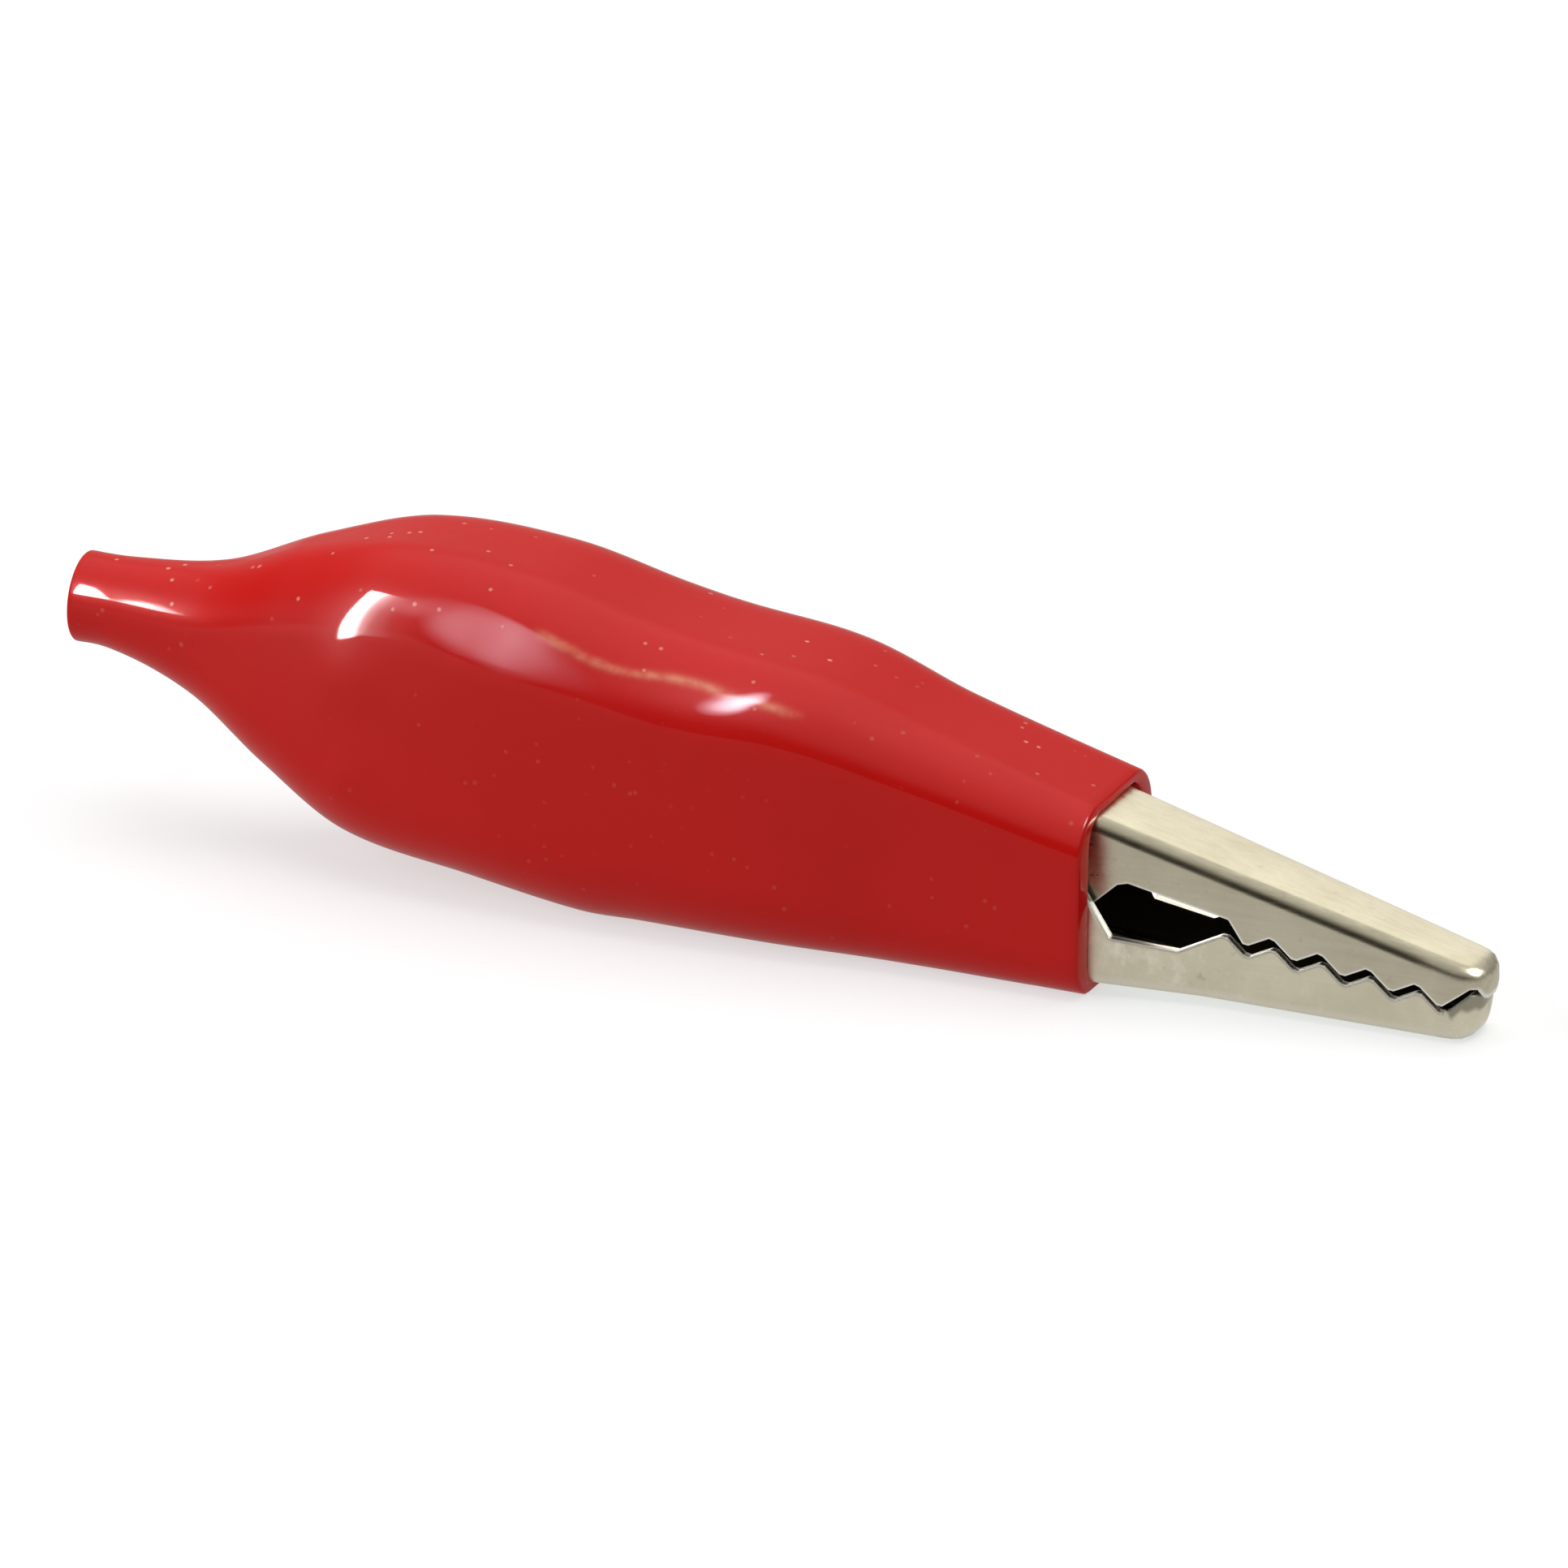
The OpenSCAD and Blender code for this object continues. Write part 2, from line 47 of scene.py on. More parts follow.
def on_table(p):
    """Points of the clip frame, in millimetres, as they lie on the table."""
    x, y, z = p[..., 0], p[..., 1], p[..., 2]
    c, s = math.cos(TILT), math.sin(TILT)
    return np.stack([x * c + z * s, y, HINGE_Z - x * s + z * c], axis=-1)


def direction(az, el):
    """Unit vector towards a compass direction and height, in degrees."""
    a, e = math.radians(az), math.radians(el)
    return Vector((math.cos(a) * math.cos(e), math.sin(a) * math.cos(e), math.sin(e)))


def smooth(a, b, v):
    t = np.clip((v - a) / (b - a), 0, 1)
    return t * t * (3 - 2 * t)


def bell(v, width):
    return np.exp(-((v / width) ** 2))


# Camera: a long lens from the near side, so that the view is almost parallel

VIEW_AZ, VIEW_EL, ROLL = -68.4, 21.3, math.radians(1.3)
FRAME_MM = 1932 / 38.05  # width of the picture: its pixels, and how many of them show a millimetre
LENS, SENSOR = 1500, 36
# The foremost upper tooth in the clip frame, and the way from there to the middle of the picture
ANCHOR = np.array([18.6, -1.36, -0.07])
ANCHOR_TO_CENTRE = (-21.19, 7.196)

back = direction(VIEW_AZ, VIEW_EL)
flat_right = Vector((0, 0, 1)).cross(back).normalized()
flat_up = back.cross(flat_right)
right = flat_right * math.cos(ROLL) + flat_up * math.sin(ROLL)
up = flat_up * math.cos(ROLL) - flat_right * math.sin(ROLL)
target = Vector(on_table(ANCHOR)) + right * ANCHOR_TO_CENTRE[0] + up * ANCHOR_TO_CENTRE[1]
distance = LENS * FRAME_MM / SENSOR

camera = bpy.data.objects.new("camera", bpy.data.cameras.new("camera"))
camera.data.lens = LENS
camera.data.sensor_width = SENSOR
camera.data.clip_end = 50
turn = Matrix((right, up, back)).transposed().to_4x4()
camera.matrix_world = Matrix.Translation((target + back * distance) * MM) @ turn
scene.collection.objects.link(camera)
scene.camera = camera


# Shader helpers


def grey(level):
    return (level, level, level)


BLACK, WHITE = grey(0), grey(1)


class Shader:
    """The node tree of a material or the world, with short ways to add and join nodes."""

    def __init__(self, owner, output="OutputMaterial"):
        self.owner = owner
        owner.use_nodes = True
        self.tree = owner.node_tree
        self.tree.nodes.clear()
        self.output = self.node(output)

    def node(self, kind, settings=None, **inputs):
        made = self.tree.nodes.new("ShaderNode" + kind)
        for key, value in (settings or {}).items():
            setattr(made, key, value)
        for key, value in inputs.items():
            socket = made.inputs[key.replace("_", " ")]
            if isinstance(value, bpy.types.NodeSocket):
                self.tree.links.new(value, socket)
            else:
                socket.default_value = value
        return made

    def link(self, a, b):
        self.tree.links.new(a, b)

    def place(self):
        return self.node("TexCoord").outputs["Object"]

    def noise(self, scale, detail=2.0, rough=0.5, vector=None):
        made = self.node("TexNoise", Scale=scale, Detail=detail, Roughness=rough)
        self.link(vector or self.place(), made.inputs["Vector"])
        return made.outputs["Fac"]

    def ramp(self, fac, *stops):
        made = self.node("ValToRGB", Fac=fac)
        elements = made.color_ramp.elements
        while len(elements) < len(stops):
            elements.new(0.5)
        for element, (at, value) in zip(elements, stops):
            element.position = at
            element.color = (*value, 1)
        return made.outputs["Color"]

    def mix(self, fac, a, b):
        made = self.node("Mix", {"data_type": "RGBA"})
        for socket, value in zip((made.inputs[0], made.inputs[6], made.inputs[7]), (fac, a, b)):
            if isinstance(value, bpy.types.NodeSocket):
                self.link(value, socket)
            elif isinstance(value, tuple):
                socket.default_value = (*value, 1)
            else:
                socket.default_value = value
        return made.outputs[2]

    def maths(self, operation, a, b=0.0, c=0.0):
        made = self.node("Math", {"operation": operation})
        for socket, value in zip(made.inputs, (a, b, c)):
            if isinstance(value, bpy.types.NodeSocket):
                self.link(value, socket)
            else:
                socket.default_value = value
        return made.outputs[0]

    def choose(self, fac, a, b):
        made = self.node("MixShader", Fac=fac)
        self.link(a, made.inputs[1])
        self.link(b, made.inputs[2])
        return made.outputs[0]

    def finish(self, shader):
        self.link(shader, self.output.inputs["Surface"])
        return self.owner

    def bump(self, height, distance, strength=1.0, normal=None):
        made = self.node("Bump", Height=height, Distance=distance, Strength=strength)
        if normal:
            self.link(normal, made.inputs["Normal"])
        return made.outputs["Normal"]


def stretched(shader, scale):
    """Object coordinates scaled along the three axes."""
    return shader.node("Mapping", Vector=shader.place(), Scale=scale).outputs["Vector"]


def new_material(name):
    return Shader(bpy.data.materials.new(name))


EDGE_RADIUS = 0.00018  # how far the cut edges of the sheet are worn round, in metres
# Places along the clip, in millimetres, where the painted shade along the upper jaw's fold fades and
# the lower nose begins
FOLD_SHADE_END, NOSE_START = 18.2, 18.3


def sheet_normals(s):
    """Normals of cut sheet: as modelled, rounded at the edges, and a mask of those edges.

    An edge that turns downwards keeps its modelled normal, and stays bright against the gap.
    """
    plain = s.node("NewGeometry").outputs["Normal"]
    rounded = s.node("Bevel", {"samples": 8}, Radius=EDGE_RADIUS).outputs["Normal"]
    turned = s.node("VectorMath", {"operation": "DOT_PRODUCT"})
    s.link(plain, turned.inputs[0])
    s.link(rounded, turned.inputs[1])
    edge = s.ramp(turned.outputs["Value"], (0.90, WHITE), (0.992, BLACK))
    facing = s.node("SeparateXYZ", Vector=plain).outputs
    bent = s.node("SeparateXYZ", Vector=rounded).outputs
    downward = s.maths("LESS_THAN", s.maths("SUBTRACT", bent["Z"], facing["Z"]), -0.03)
    return facing, s.mix(downward, rounded, plain), edge


def plated_metal(name, fresh):
    """Nickel-plated sheet: warm grey, rolling lines, stains; painted highlight on edges and downward
    faces, painted shade inside.

    A fresh plating is lighter, with pale scuffs and a dented nose, its dents painted dark as shade.
    A dull one is plainer and has a painted dark line along its bend, standing in for the dark
    reflection there.
    """
    s = new_material(name)
    stain = s.noise(420, 4, 0.6)
    grain = s.noise(1.0, 3, 0.6, stretched(s, (260, 5200, 5200)))
    light = tuple(c * (1 + 0.34 * fresh) for c in (0.63, 0.585, 0.455))
    dull = tuple(c * (1 + 0.28 * fresh) for c in (0.56, 0.515, 0.385))
    colour = s.mix(s.ramp(stain, (0.38, BLACK), (0.66, WHITE)), light, dull)
    rolled = s.ramp(grain, (0.35, BLACK), (0.75, grey(0.45)))
    colour = s.mix(rolled, colour, (0.78, 0.73, 0.58))
    smear = s.noise(1.0, 4, 0.65, stretched(s, (1500, 1500, 900)))
    where = s.ramp(s.noise(300, 2, 0.5), (0.46, BLACK), (0.62, grey(0.9 * fresh)))
    scuff = s.maths("MULTIPLY", where, s.ramp(smear, (0.50, BLACK), (0.66, WHITE)))
    colour = s.mix(scuff, colour, (0.95, 0.91, 0.76))
    spots = s.ramp(s.noise(2600, 2, 0.5), (0.66, BLACK), (0.78, grey(0.4)))
    colour = s.mix(spots, colour, (0.42, 0.38, 0.27))

    facing, rounded, edge = sheet_normals(s)
    place = s.node("SeparateXYZ", Vector=s.place()).outputs
    # Painted shade: faces turned in towards the middle are painted almost black, for the shade
    # inside the pressing.
    outward = s.maths("MULTIPLY", facing["Y"], place["Y"])
    inside = s.ramp(s.maths("MULTIPLY", outward, -2500.0), (0.1, BLACK), (0.6, grey(0.93)))
    # Painted light: faces turned downwards are painted paler, standing in for the bright table
    # reflected in them.
    under = s.ramp(s.maths("MULTIPLY", facing["Z"], -1.0), (0.05, BLACK), (0.45, grey(0.8)))
    colour = s.mix(under, colour, (0.92, 0.88, 0.74))
    # Painted highlight: the rounded cut edges are painted pale and made less metallic, for the
    # bright outline along them.
    colour = s.mix(edge, colour, (0.97, 0.95, 0.88))
    colour = s.mix(inside, colour, (0.03, 0.027, 0.02))
    rough = s.maths("MULTIPLY_ADD", grain, 0.16, 0.16)
    rough = s.maths("MULTIPLY_ADD", stain, 0.12, rough)
    normal = s.bump(grain, 0.000012, 0.5, rounded)
    normal = s.bump(stain, 0.00005, 0.35, normal)

    if fresh:
        along = s.maths("MULTIPLY_ADD", place["X"], 2000.0, -2 * NOSE_START)
        nose = s.ramp(along, (0, BLACK), (1, WHITE))
        lumps = s.noise(1.0, 1, 0.4, stretched(s, (1500, 300, 650)))
        # Painted shade: besides their bump, the dents near the nose are painted dark.
        dent_shade = s.maths("MULTIPLY", s.ramp(lumps, (0.50, BLACK), (0.57, grey(0.75))), nose)
        colour = s.mix(dent_shade, colour, (0.22, 0.20, 0.15))
        normal = s.bump(s.maths("MULTIPLY", lumps, nose), 0.0003, 1.0, normal)
    else:
        # Painted shade: a dark band along the upper jaw's fold, standing in for the dark reflection
        # there.
        painted_fold_shade = s.ramp(facing["Z"], (0.08, BLACK), (0.2, WHITE), (0.46, grey(0.9)), (0.66, BLACK))
        along = s.maths("MULTIPLY_ADD", place["X"], -1000.0, FOLD_SHADE_END)
        behind = s.ramp(along, (0, BLACK), (0.7, grey(0.75)))
        colour = s.mix(s.maths("MULTIPLY", painted_fold_shade, behind), colour, (0.13, 0.112, 0.07))

    shader = s.node(
        "BsdfPrincipled",
        Base_Color=colour,
        Metallic=s.maths("MULTIPLY_ADD", edge, -0.55, 1.0),
        Roughness=rough,
        Normal=normal,
    )
    return s.finish(shader.outputs[0])


def wire_metal():
    """Drawn spring wire: satin grey steel with die lines along it."""
    s = new_material("drawn_wire")
    lines = s.noise(5200, 3, 0.6)
    patches = s.noise(600, 3, 0.5)
    shader = s.node(
        "BsdfPrincipled",
        Base_Color=s.mix(patches, (0.44, 0.44, 0.42), (0.62, 0.61, 0.58)),
        Metallic=1.0,
        Roughness=s.maths("MULTIPLY_ADD", lines, 0.2, 0.24),
        Normal=s.bump(lines, 0.00001, 0.6),
    )
    return s.finish(shader.outputs[0])


def vinyl():
    """Soft dipped vinyl: red, glossy, paler where an edge stretches it and painted with a highlight
    along that line, pale specks on top.
    """
    s = new_material("dipped_vinyl")
    cloud = s.noise(260, 3, 0.5)
    colour = s.mix(cloud, (0.55, 0.0035, 0.0018), (0.61, 0.0060, 0.0034))
    # Paler where the skin is stretched over the handle's edge; the same pale line is also a painted
    # highlight along that crease.
    taut_and_highlight = s.node("Attribute", {"attribute_name": "stretch_and_highlight"}).outputs["Fac"]
    broken = s.ramp(s.noise(700, 3, 0.6), (0.38, grey(0.12)), (0.62, grey(0.8)))
    colour = s.mix(s.maths("MULTIPLY", taut_and_highlight, broken), colour, (0.82, 0.33, 0.19))
    facing = s.node("SeparateXYZ", Vector=s.node("NewGeometry").outputs["Normal"]).outputs["Z"]
    above = s.ramp(facing, (0.15, grey(0.12)), (0.5, WHITE))
    patchy = s.ramp(s.noise(190, 1, 0.5), (0.44, grey(0.2)), (0.56, WHITE))
    crowd = s.maths("MULTIPLY", above, patchy)
    for scale, size, share in ((620.0, 0.055, 0.35), (1500.0, 0.12, 0.45)):
        dust = s.node("TexVoronoi", Scale=scale, Randomness=1.0)
        s.link(s.place(), dust.inputs["Vector"])
        dot = s.ramp(dust.outputs["Distance"], (size * 0.6, WHITE), (size * 1.2, BLACK))
        few = s.ramp(dust.outputs["Color"], (share, BLACK), (share + 0.04, WHITE))
        speck = s.maths("MULTIPLY", s.maths("MULTIPLY", dot, few), crowd)
        colour = s.mix(speck, colour, (0.78, 0.28, 0.20))
    skin = s.noise(1900, 3, 0.55)
    swell = s.noise(330, 2, 0.5)
    normal = s.bump(swell, 0.00004, 0.2, s.bump(skin, 0.000006, 0.3))
    shader = s.node(
        "BsdfPrincipled",
        Base_Color=colour,
        Roughness=s.maths("MULTIPLY_ADD", skin, 0.12, 0.34),
        Specular_IOR_Level=0.04,
        Coat_Weight=0.38,
        Coat_Roughness=0.06,
        Normal=normal,
    )
    return s.finish(shader.outputs[0])


def dress(obj, material):
    obj.data.materials.clear()
    obj.data.materials.append(material)


# Metal pieces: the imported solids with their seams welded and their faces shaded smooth

SEAM, SHARP = 0.000002, math.radians(32)
dull_plate = plated_metal("nickel_plate_dull", 0.0)
fresh_plate = plated_metal("nickel_plate_fresh", 1.0)
plating = {
    "upper_jaw": dull_plate,
    "lower_jaw": fresh_plate,
    "hinge_rivet": dull_plate,
    "terminal_screw": fresh_plate,
}
for name, metal in plating.items():
    piece = nodes[name]
    piece.data.shade_smooth()
    weld = piece.modifiers.new("weld", "WELD")
    weld.merge_threshold = SEAM
    split = piece.modifiers.new("split", "EDGE_SPLIT")
    split.split_angle = SHARP
    dress(piece, metal)


def mesh_object(name, rings, capped, material):
    """A tube through rings of points, in millimetres, closed on itself or capped at its ends."""
    count, n = rings.shape[:2]
    faces = []
    last = count - 1 if capped else count
    for i in range(last):
        k = (i + 1) % count
        for j in range(n):
            j2 = (j + 1) % n
            faces.append((i * n + j, i * n + j2, k * n + j2, k * n + j))
    if capped:
        faces.append(tuple(range(n))[::-1])
        faces.append(tuple(range((count - 1) * n, count * n)))
    mesh = bpy.data.meshes.new(name)
    mesh.from_pydata((rings.reshape(-1, 3) * MM).tolist(), [], faces)
    mesh.update()
    mesh.shade_smooth()
    obj = bpy.data.objects.new(name, mesh)
    scene.collection.objects.link(obj)
    dress(obj, material)
    return obj


# Boot, from its mouth to its tail, in the clip frame: x, low, high, half width, corner radius

BOOT = np.array(
    [
        (7.3, -3.064, 3.136, 3.2, 1.5),
        (0.0, -4.1, 4.153, 3.54, 2.0),
        (-3.9, -4.654, 4.83, 4.05, 2.4),
        (-8.45, -5.3, 4.81, 4.3, 2.8),
        (-10.45, -5.58, 4.88, 4.3, 2.8),
        (-14.4, -5.58, 5.19, 4.2, 2.8),
        (-19.0, -5.55, 4.73, 3.7, 2.6),
        (-22.4, -4.45, 3.3, 2.9, 2.5),
        (-25.4, -3.0, 1.5, 2.1, 1.9),
        (-28.6, -2.439, 0.661, 1.55, 1.53),
        (-30.8, -2.751, 0.349, 1.55, 1.53),
    ]
)
WALL, SIDE_WALL = 0.3, 0.6
MOUTH_EXTRA = 0.4  # the side wall is thicker at its mouth, where it closes round the jaws
BORE_X, BORE_R = -25.2, 1.05  # where the hollow ends in the tail's round hole
BORE_ROW = (BORE_X, -1.656, 0.844, 1.25, 1.23)
CAVITY = np.vstack([BOOT[:8] + [0, WALL, -WALL, -SIDE_WALL, -SIDE_WALL], [BORE_ROW]])
CAVITY[0, 3] -= MOUTH_EXTRA
# The cut ends and the tail's height, on the table
MOUTH_X, TAIL_X, TAIL_Z = 6.534, -29.8, 7.1
OUTER_RINGS, HOLLOW_RINGS, BORE_RINGS = 150, 60, 12


def form_at(form, x):
    """Rows of a form at the places x: a smooth curve through its stations."""
    rows = form[::-1]
    knots = rows[:, 0]
    k = np.arange(len(rows))
    a, b = rows[np.maximum(k - 1, 0)], rows[np.minimum(k + 1, len(rows) - 1)]
    slopes = (b - a) / (b - a)[:, :1]
    i = np.clip(np.searchsorted(knots, x) - 1, 0, len(rows) - 2)
    span = (knots[i + 1] - knots[i])[..., None]
    t = ((x - knots[i]) / span[..., 0])[..., None]
    return (
        rows[i] * (2 * t**3 - 3 * t**2 + 1)
        + rows[i + 1] * (3 * t**2 - 2 * t**3)
        + slopes[i] * span * (t**3 - 2 * t**2 + t)
        + slopes[i + 1] * span * (t**3 - t**2)
    )


def round_angles():
    """Angles round the boot, closer together where its upper corners carry fine detail."""
    low = np.linspace(0, 90, 24, endpoint=False)
    plain, fine = np.linspace(0, 36, 12, endpoint=False), np.linspace(36, 66, 34, endpoint=False)
    upper = np.concatenate([plain, fine, np.linspace(66, 90, 10)])
    return np.radians(np.unique(np.concatenate([upper, 180 - upper, 180 + low, 270 + low])))


ANGLES = round_angles()


def outline(rows):
    """Points (y, z) and outward directions of rounded sections, seen from their middles."""
    low, high, w, r = (rows[..., k] for k in (1, 2, 3, 4))
    h, middle = (high - low) / 2, (high + low) / 2
    c, s = np.cos(ANGLES), np.sin(ANGLES)
    reach = np.minimum(w / np.maximum(np.abs(c), 1e-9), h / np.maximum(np.abs(s), 1e-9))
    y, z = np.abs(c) * reach, np.abs(s) * reach
    cy, cz = w - r, h - r
    corner = (y > cy) & (z > cz)
    along = np.abs(c) * cy + np.abs(s) * cz
    root = np.sqrt(np.maximum(along**2 - cy**2 - cz**2 + r**2, 0))
    y = np.where(corner, np.abs(c) * (along + root), y)
    z = np.where(corner, np.abs(s) * (along + root), z)
    ny = np.where(corner, (y - cy) / r, np.where(y >= w - 1e-6, 1, 0))
    nz = np.where(corner, (z - cz) / r, np.where(y >= w - 1e-6, 0, 1))
    sy, sz = np.sign(c), np.sign(s)
    return sy * y, middle + sz * z, sy * ny, sz * nz


def ridge_height(x):
    """Height of the line along which the upper handle's edge lies under the skin."""
    lift = 0.36 * bell(x + 15.2, 2.2) - 0.26 * bell(x + 10.3, 1.7)
    return 4.05 + lift - 0.45 * smooth(-17.2, -20.2, x)


def crease(x, y, z):
    """Where the edge of the upper handle draws the skin tight: 1 on the line, 0 away from it."""
    along = smooth(-13.4, -12.4, x) * (1 - smooth(-4.4, -3.6, x)) * (1 - 0.75 * bell(x + 5.9, 0.8))
    return along * smooth(2.0, 2.6, np.abs(y)) * bell(z - ridge_height(x), 0.11)


def facet(u):
    """Hollow below a ridge: none at its two ends, flat in its middle, soft at its lower end."""
    rise = 4 * u * (1 - u)
    return np.where(u < 0.5, np.maximum(rise, 0), 1 - smooth(0.5, 1.35, u))


def relief(x, y, z):
    """How far the boot stands out where the handles inside push against it, in millimetres."""
    side = np.abs(y)
    below = ridge_height(x) - z
    ridge = 0.015 * crease(x, y, z)
    shoulder = smooth(-17.8, -15.2, x) * (1 - smooth(-13.6, -9.0, x)) * smooth(1.6, 2.4, side)
    flat = -0.12 * shoulder * facet(below / 1.8)
    knob = 0.03 * bell(x + 5.2, 1.2) * bell(below - 0.05, 0.7) * smooth(1.6, 2.2, side)
    rear_up = 0.16 * bell(x + 19.6, 1.6) * bell(z - 0.7, 1.5) * smooth(1.5, 3.0, side)
    rear_low = 0.08 * bell(x + 18.9, 0.7) * bell(z + 3.0, 0.9) * smooth(1.5, 3.0, side)
    waist = -0.06 * bell(x + 12.0, 5.0) * bell(z + 0.4, 2.2) * smooth(3.0, 3.8, side)
    return ridge + flat + knob + rear_up + rear_low + waist


def sections(form, places, shown=False):
    """Rings of a form in the upright planes at the given places, as table points."""
    x0 = np.asarray(places)[:, None] / math.cos(TILT) + 0 * ANGLES
    x = x0.copy()
    # Such a plane leans in the clip frame, so a point's x follows its z, and settles in a few rounds
    for _ in range(8):
        y, z, ny, nz = outline(form_at(form, x))
        x = x0 - z * math.tan(TILT)
    out = relief(x, y, z) if shown else 0 * x
    taut_and_highlight = crease(x, y, z) if shown else 0 * x
    p = on_table(np.stack([x, y + ny * out, z + nz * out], axis=-1))
    p[..., 0] = np.asarray(places)[:, None]
    # The table flattens the soft underside
    p[..., 2] = np.maximum(p[..., 2], 0)
    return p, taut_and_highlight


def bore_rings(places):
    """Rings of the round hole in the tail, which is level on the table."""
    across, up_from_middle = BORE_R * np.cos(ANGLES), BORE_R * np.sin(ANGLES)
    circle = np.stack([0 * ANGLES, across, TAIL_Z + up_from_middle], -1)
    rings = np.repeat(circle[None], len(places), axis=0)
    rings[..., 0] = np.asarray(places)[:, None]
    return rings


# Steps over a cut end: share of the way from the outer to the inner skin, and depth below the cut
LIP_EDGE = 0.1
LIP = [
    (0.02, 0.05),
    (0.08, 0.018),
    (0.2, 0.0),
    (0.5, -0.004),
    (0.8, 0.0),
    (0.92, 0.018),
    (0.98, 0.05),
]


def lip(outer, inner, place, sign):
    """Rings that round the wall's cut end off, between its two skins."""
    rings = []
    for share, depth in LIP:
        ring = outer * (1 - share) + inner * share
        ring[..., 0] = place - sign * max(depth, 0)
        rings.append(ring)
    return np.array(rings)


def make_boot():
    """One closed skin: outside, tail's end, bore, hollow and mouth's end."""
    front, rear = MOUTH_X - LIP_EDGE, TAIL_X + LIP_EDGE
    outer, taut_and_highlight = sections(BOOT, np.linspace(front, rear, OUTER_RINGS), shown=True)
    hollow, _ = sections(CAVITY, np.linspace(BORE_X + 0.02, front, HOLLOW_RINGS))
    bore = bore_rings(np.linspace(rear, BORE_X, BORE_RINGS))
    mouth_out, _ = sections(BOOT, [MOUTH_X])
    mouth_in, _ = sections(CAVITY, [MOUTH_X])
    tail_out, _ = sections(BOOT, [TAIL_X])
    tail_in = bore_rings([TAIL_X])
    parts = [
        outer,
        lip(tail_out[0], tail_in[0], TAIL_X, -1),
        bore,
        hollow,
        lip(mouth_out[0], mouth_in[0], MOUTH_X, 1)[::-1],
    ]
    rings = np.concatenate(parts)
    obj = mesh_object("boot_skin", rings, False, vinyl())
    # Where the skin is stretched over the handle's edge, which also carries the painted highlight
    # along that crease.
    stretch_and_highlight = obj.data.attributes.new("stretch_and_highlight", "FLOAT", "POINT")
    values = np.zeros(rings.shape[:2], np.float32)
    values[: len(outer)] = taut_and_highlight
    stretch_and_highlight.data.foreach_set("value", values.reshape(-1))
    return obj


boot = make_boot()
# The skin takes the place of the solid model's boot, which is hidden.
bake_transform(boot)
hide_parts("boot")


# Spring: the coil's centre line, in the clip frame, with a round wire along it

WIRE_R, COIL_R, TURNS, PITCH = 0.25, 1.45, 3, 0.55
COIL_STEPS = 110
UPPER_END, LOWER_END = (-8.0, 3.70), (-8.0, -4.262)


def leg(angle, end, y, shares):
    """Points of a straight leg, from the coil to the leg's end, with the wire's angle."""
    x0, z0 = COIL_R * math.cos(angle), COIL_R * math.sin(angle)
    return [(x0 * (1 - t) + end[0] * t, y, z0 * (1 - t) + end[1] * t, angle) for t in shares]


def make_spring():
    upper_a = math.atan2(UPPER_END[1], UPPER_END[0]) - math.acos(COIL_R / math.hypot(*UPPER_END))
    lower_a = math.atan2(LOWER_END[1], LOWER_END[0]) + math.acos(COIL_R / math.hypot(*LOWER_END))
    sweep = upper_a - lower_a + 2 * math.pi * TURNS
    width = PITCH * sweep / (2 * math.pi)
    line = leg(upper_a, UPPER_END, width / 2, np.linspace(1, 0, 14, endpoint=False))
    for t in np.arange(COIL_STEPS + 1) / COIL_STEPS:
        a = upper_a - sweep * t
        line.append((COIL_R * math.cos(a), width / 2 - width * t, COIL_R * math.sin(a), a))
    line += leg(lower_a, LOWER_END, -width / 2, np.linspace(0, 1, 15)[1:])
    # The last ring at each end is smaller, which rounds the cut wire
    scales = [0.8] + [1.0] * (len(line) - 2) + [0.8]
    rings = []
    b = np.linspace(0, 2 * math.pi, 16, endpoint=False)
    for (x, y, z, a), k in zip(line, scales):
        out, side = WIRE_R * k * np.cos(b), WIRE_R * k * np.sin(b)
        ring = np.stack([x + out * math.cos(a), y + side, z + out * math.sin(a)], -1)
        rings.append(on_table(ring))
    return mesh_object("spring_wire", np.array(rings), True, wire_metal())


spring = make_spring()
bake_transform(spring)
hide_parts("torsion_spring")


# Floor: a white table, bright to the camera and in reflections


FLOOR_HALF, FLOOR_DROP = 6.0, 0.00001  # in metres: the drop keeps it clear of the flat underside


def make_floor():
    """The table. The camera, mirrors and matt surfaces each see it at their own brightness."""
    mesh = bpy.data.meshes.new("floor")
    r = FLOOR_HALF
    mesh.from_pydata([(-r, -r, 0), (r, -r, 0), (r, r, 0), (-r, r, 0)], [], [(0, 1, 2, 3)])
    floor = bpy.data.objects.new("floor", mesh)
    floor.location.z = -FLOOR_DROP
    scene.collection.objects.link(floor)
    s = new_material("white_table")
    rays = s.node("LightPath")

    def surface(shade, glow, tint=(1, 1, 1)):
        soft = s.node("BsdfDiffuse", Color=(*shade, 1))
        light = s.node("Emission", Color=(*tint, 1), Strength=glow)
        both = s.node("AddShader")
        s.link(soft.outputs[0], both.inputs[0])
        s.link(light.outputs[0], both.inputs[1])
        return both.outputs[0]

    seen = surface((0.46, 0.42, 0.42), 0.60, (0.935, 1, 1))
    mirrored = surface(grey(0.15), 0.47, (1, 0.99, 0.95))
    unseen = s.choose(rays.outputs["Is Glossy Ray"], surface(grey(0.3), 0.33), mirrored)
    dress(floor, s.finish(s.choose(rays.outputs["Is Camera Ray"], unseen, seen)))
    return floor


make_floor()


# Light: the places that the lamps face, in millimetres on the table, and their tints and fades

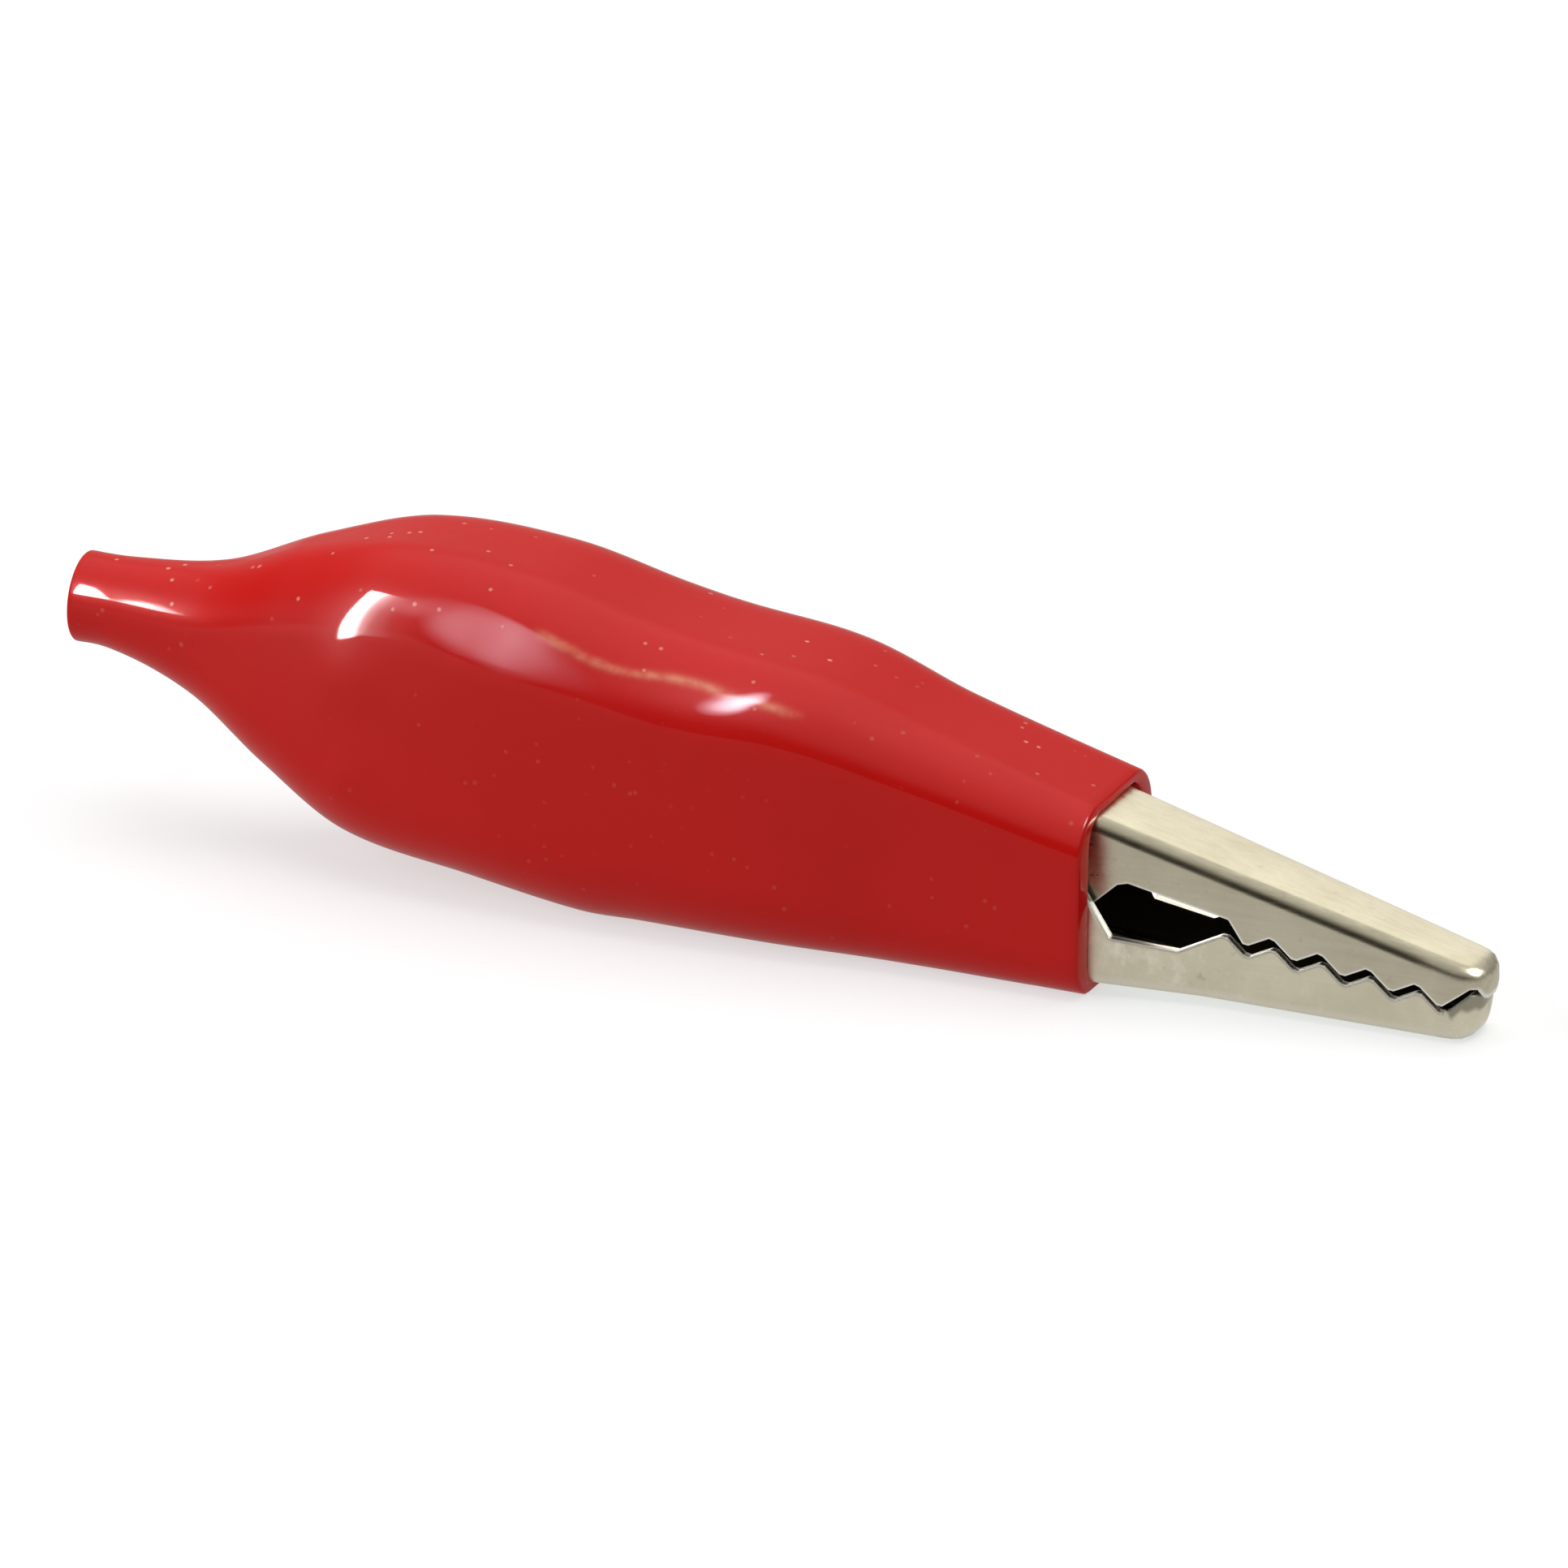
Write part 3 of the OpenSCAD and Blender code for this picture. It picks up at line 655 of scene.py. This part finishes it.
TAIL, STREAK, PATCH = (-26.8, -1.6, 7.9), (-18.9, -3.6, 9.0), (-13.5, -3.85, 9.2)
KNOB, JAW = (-5.3, -3.6, 8.75), (10, 0, 5)
COOL, WARM = (0.93, 0.95, 1.10), (1, 0.975, 0.90)
FADES = {
    "round": ((0.0, WHITE), (0.45, grey(0.62)), (0.75, grey(0.17)), (1.0, BLACK)),
    "side": ((0.0, WHITE), (0.42, WHITE), (0.56, grey(0.28)), (0.75, grey(0.06)), (1.0, BLACK)),
}


def group_of(name, pieces):
    group = bpy.data.collections.new(name)
    for piece in pieces:
        group.objects.link(piece)
    return group


def softbox(
    name, aim, az, el, size, strength, reach=300, roll=0, spread=180, fade=None, tint=(1, 1, 1),
    only=None, stopped_by=None,
):
    """Rectangular light that faces a point. Sizes in degrees as seen from there, 1 is white.

    It fades from its middle outwards or from one side to the other. With a list of objects it
    shows as a reflection in those alone, and otherwise it only lights the surfaces. Where an
    object is named to stop it, every other one lets it through. A small spread keeps its light
    to the place it faces.
    """
    data = bpy.data.lights.new(name, "AREA")
    data.shape = "RECTANGLE"
    data.size, data.size_y = (2 * reach * MM * math.tan(math.radians(a / 2)) for a in size)
    data.energy = strength * math.pi * data.size * data.size_y
    if spread < 180:
        # A narrow beam is brighter for the same energy: this keeps the strength as given
        data.spread = math.radians(spread)
        half = data.spread / 2
        data.energy *= 1 - half / math.tan(half)
    data.color = tint
    if fade:
        s = Shader(data, "OutputLight")
        spot = s.node("NewGeometry").outputs["Parametric"]
        if fade == "round":
            apart = s.node("VectorMath", {"operation": "DISTANCE"})
            s.link(spot, apart.inputs[0])
            apart.inputs[1].default_value = (0.5, 0.5, 0)
            share = s.maths("MULTIPLY", apart.outputs["Value"], 2.0)
        else:
            share = s.node("SeparateXYZ", Vector=spot).outputs["X"]
        level = s.ramp(share, *FADES[fade])
        glow = s.node("Emission", Strength=level)
        s.finish(glow.outputs[0])
    lamp = bpy.data.objects.new(name, data)
    lamp.location = (Vector(aim) + direction(az, el) * reach) * MM
    turned = direction(az, el).to_track_quat("Z", "Y") @ Quaternion((0, 0, 1), math.radians(roll))
    lamp.rotation_euler = turned.to_euler()
    lamp.visible_camera = False
    lamp.visible_glossy = only is not None
    lamp.visible_diffuse = only is None
    scene.collection.objects.link(lamp)
    if only:
        lamp.light_linking.receiver_collection = group_of(name + "_on", only)
    if stopped_by:
        lamp.light_linking.blocker_collection = group_of(name + "_stop", [stopped_by])


# Reflections in the boot: the streaks at its rear, the soft patch on its shoulder and the spot
skin = [boot]
softbox("key", STREAK, -130.5, 20, (21, 58), 74, reach=13, roll=8, fade="side", only=skin)
softbox("key_tail", TAIL, -116, 31, (32, 24), 130, reach=9, spread=60, fade="side", only=skin)
for name, aim, az, el, size, strength, reach in (
    ("window_high", STREAK, -122, 38, (34, 34), 5, 60),
    ("window", PATCH, -110, 26, (30, 60), 13, 16),
    ("spark", KNOB, -112, 54, (15, 66), 75, 7),
):
    softbox(name, aim, az, el, size, strength, reach=reach, fade="round", tint=COOL, only=skin)
softbox("sky", JAW, -69, 80, (130, 140), 1.4, fade="round", only=skin)
softbox("mouth_glint", JAW, 3, 56, (24, 24), 20, only=skin)
# Reflections in the metal: the pale top, the bright flanks of the teeth and the spot on the nose
metal_pieces, lower = [nodes[name] for name in plating], [nodes["lower_jaw"]]
softbox("panel", JAW, 116, 27, (52, 56), 0.66, tint=WARM, only=metal_pieces)
softbox("ceiling", JAW, -69, 86, (100, 112), 0.42, tint=WARM, only=metal_pieces)
softbox("left_glint", JAW, 165, 38, (36, 30), 4, only=metal_pieces)
softbox("front_glint", JAW, 8, 33, (24, 20), 4, only=metal_pieces)
softbox("flank_glint", JAW, 119, -5, (36, 30), 2.5, only=lower, stopped_by=spring)
softbox("ear_glint", JAW, 62, 6, (20, 24), 2.5, only=lower, stopped_by=spring)
softbox("nose_glint", JAW, 12, 43, (40, 40), 30, fade="round", only=metal_pieces)
# Lights that only light the surfaces
softbox("left_fill", JAW, -146, 26, (30, 30), 3.25)
softbox("top_fill", JAW, 110, 80, (53, 53), 2.35, reach=500)


def studio():
    """The room: even light, white to the camera, and in reflections bright behind and above."""
    w = Shader(bpy.data.worlds.new("studio"), "OutputWorld")
    rays = w.node("LightPath")
    aim = w.node("VectorMath", {"operation": "DOT_PRODUCT"})
    w.link(w.node("TexCoord").outputs["Generated"], aim.inputs[0])
    aim.inputs[1].default_value = direction(VIEW_AZ + 180, 30)
    share = w.node("MapRange", Value=aim.outputs["Value"], From_Min=-1.0, From_Max=1.0)
    room = w.ramp(
        share.outputs["Result"],
        (0.0, grey(0.03)),
        (0.45, grey(0.03)),
        (0.60, grey(0.09)),
        (0.80, (0.20, 0.197, 0.185)),
        (0.92, (0.33, 0.325, 0.305)),
        (1.0, (0.58, 0.57, 0.54)),
    )
    even = w.node("Background", Color=(1, 1, 1, 1), Strength=0.36)
    mirror = w.node("Background", Color=room, Strength=1.0)
    white = w.node("Background", Color=(1, 1, 1, 1), Strength=1.0)
    unseen = w.choose(rays.outputs["Is Glossy Ray"], even.outputs[0], mirror.outputs[0])
    return w.finish(w.choose(rays.outputs["Is Camera Ray"], unseen, white.outputs[0]))


scene.world = studio()
scene.view_settings.view_transform = "Standard"
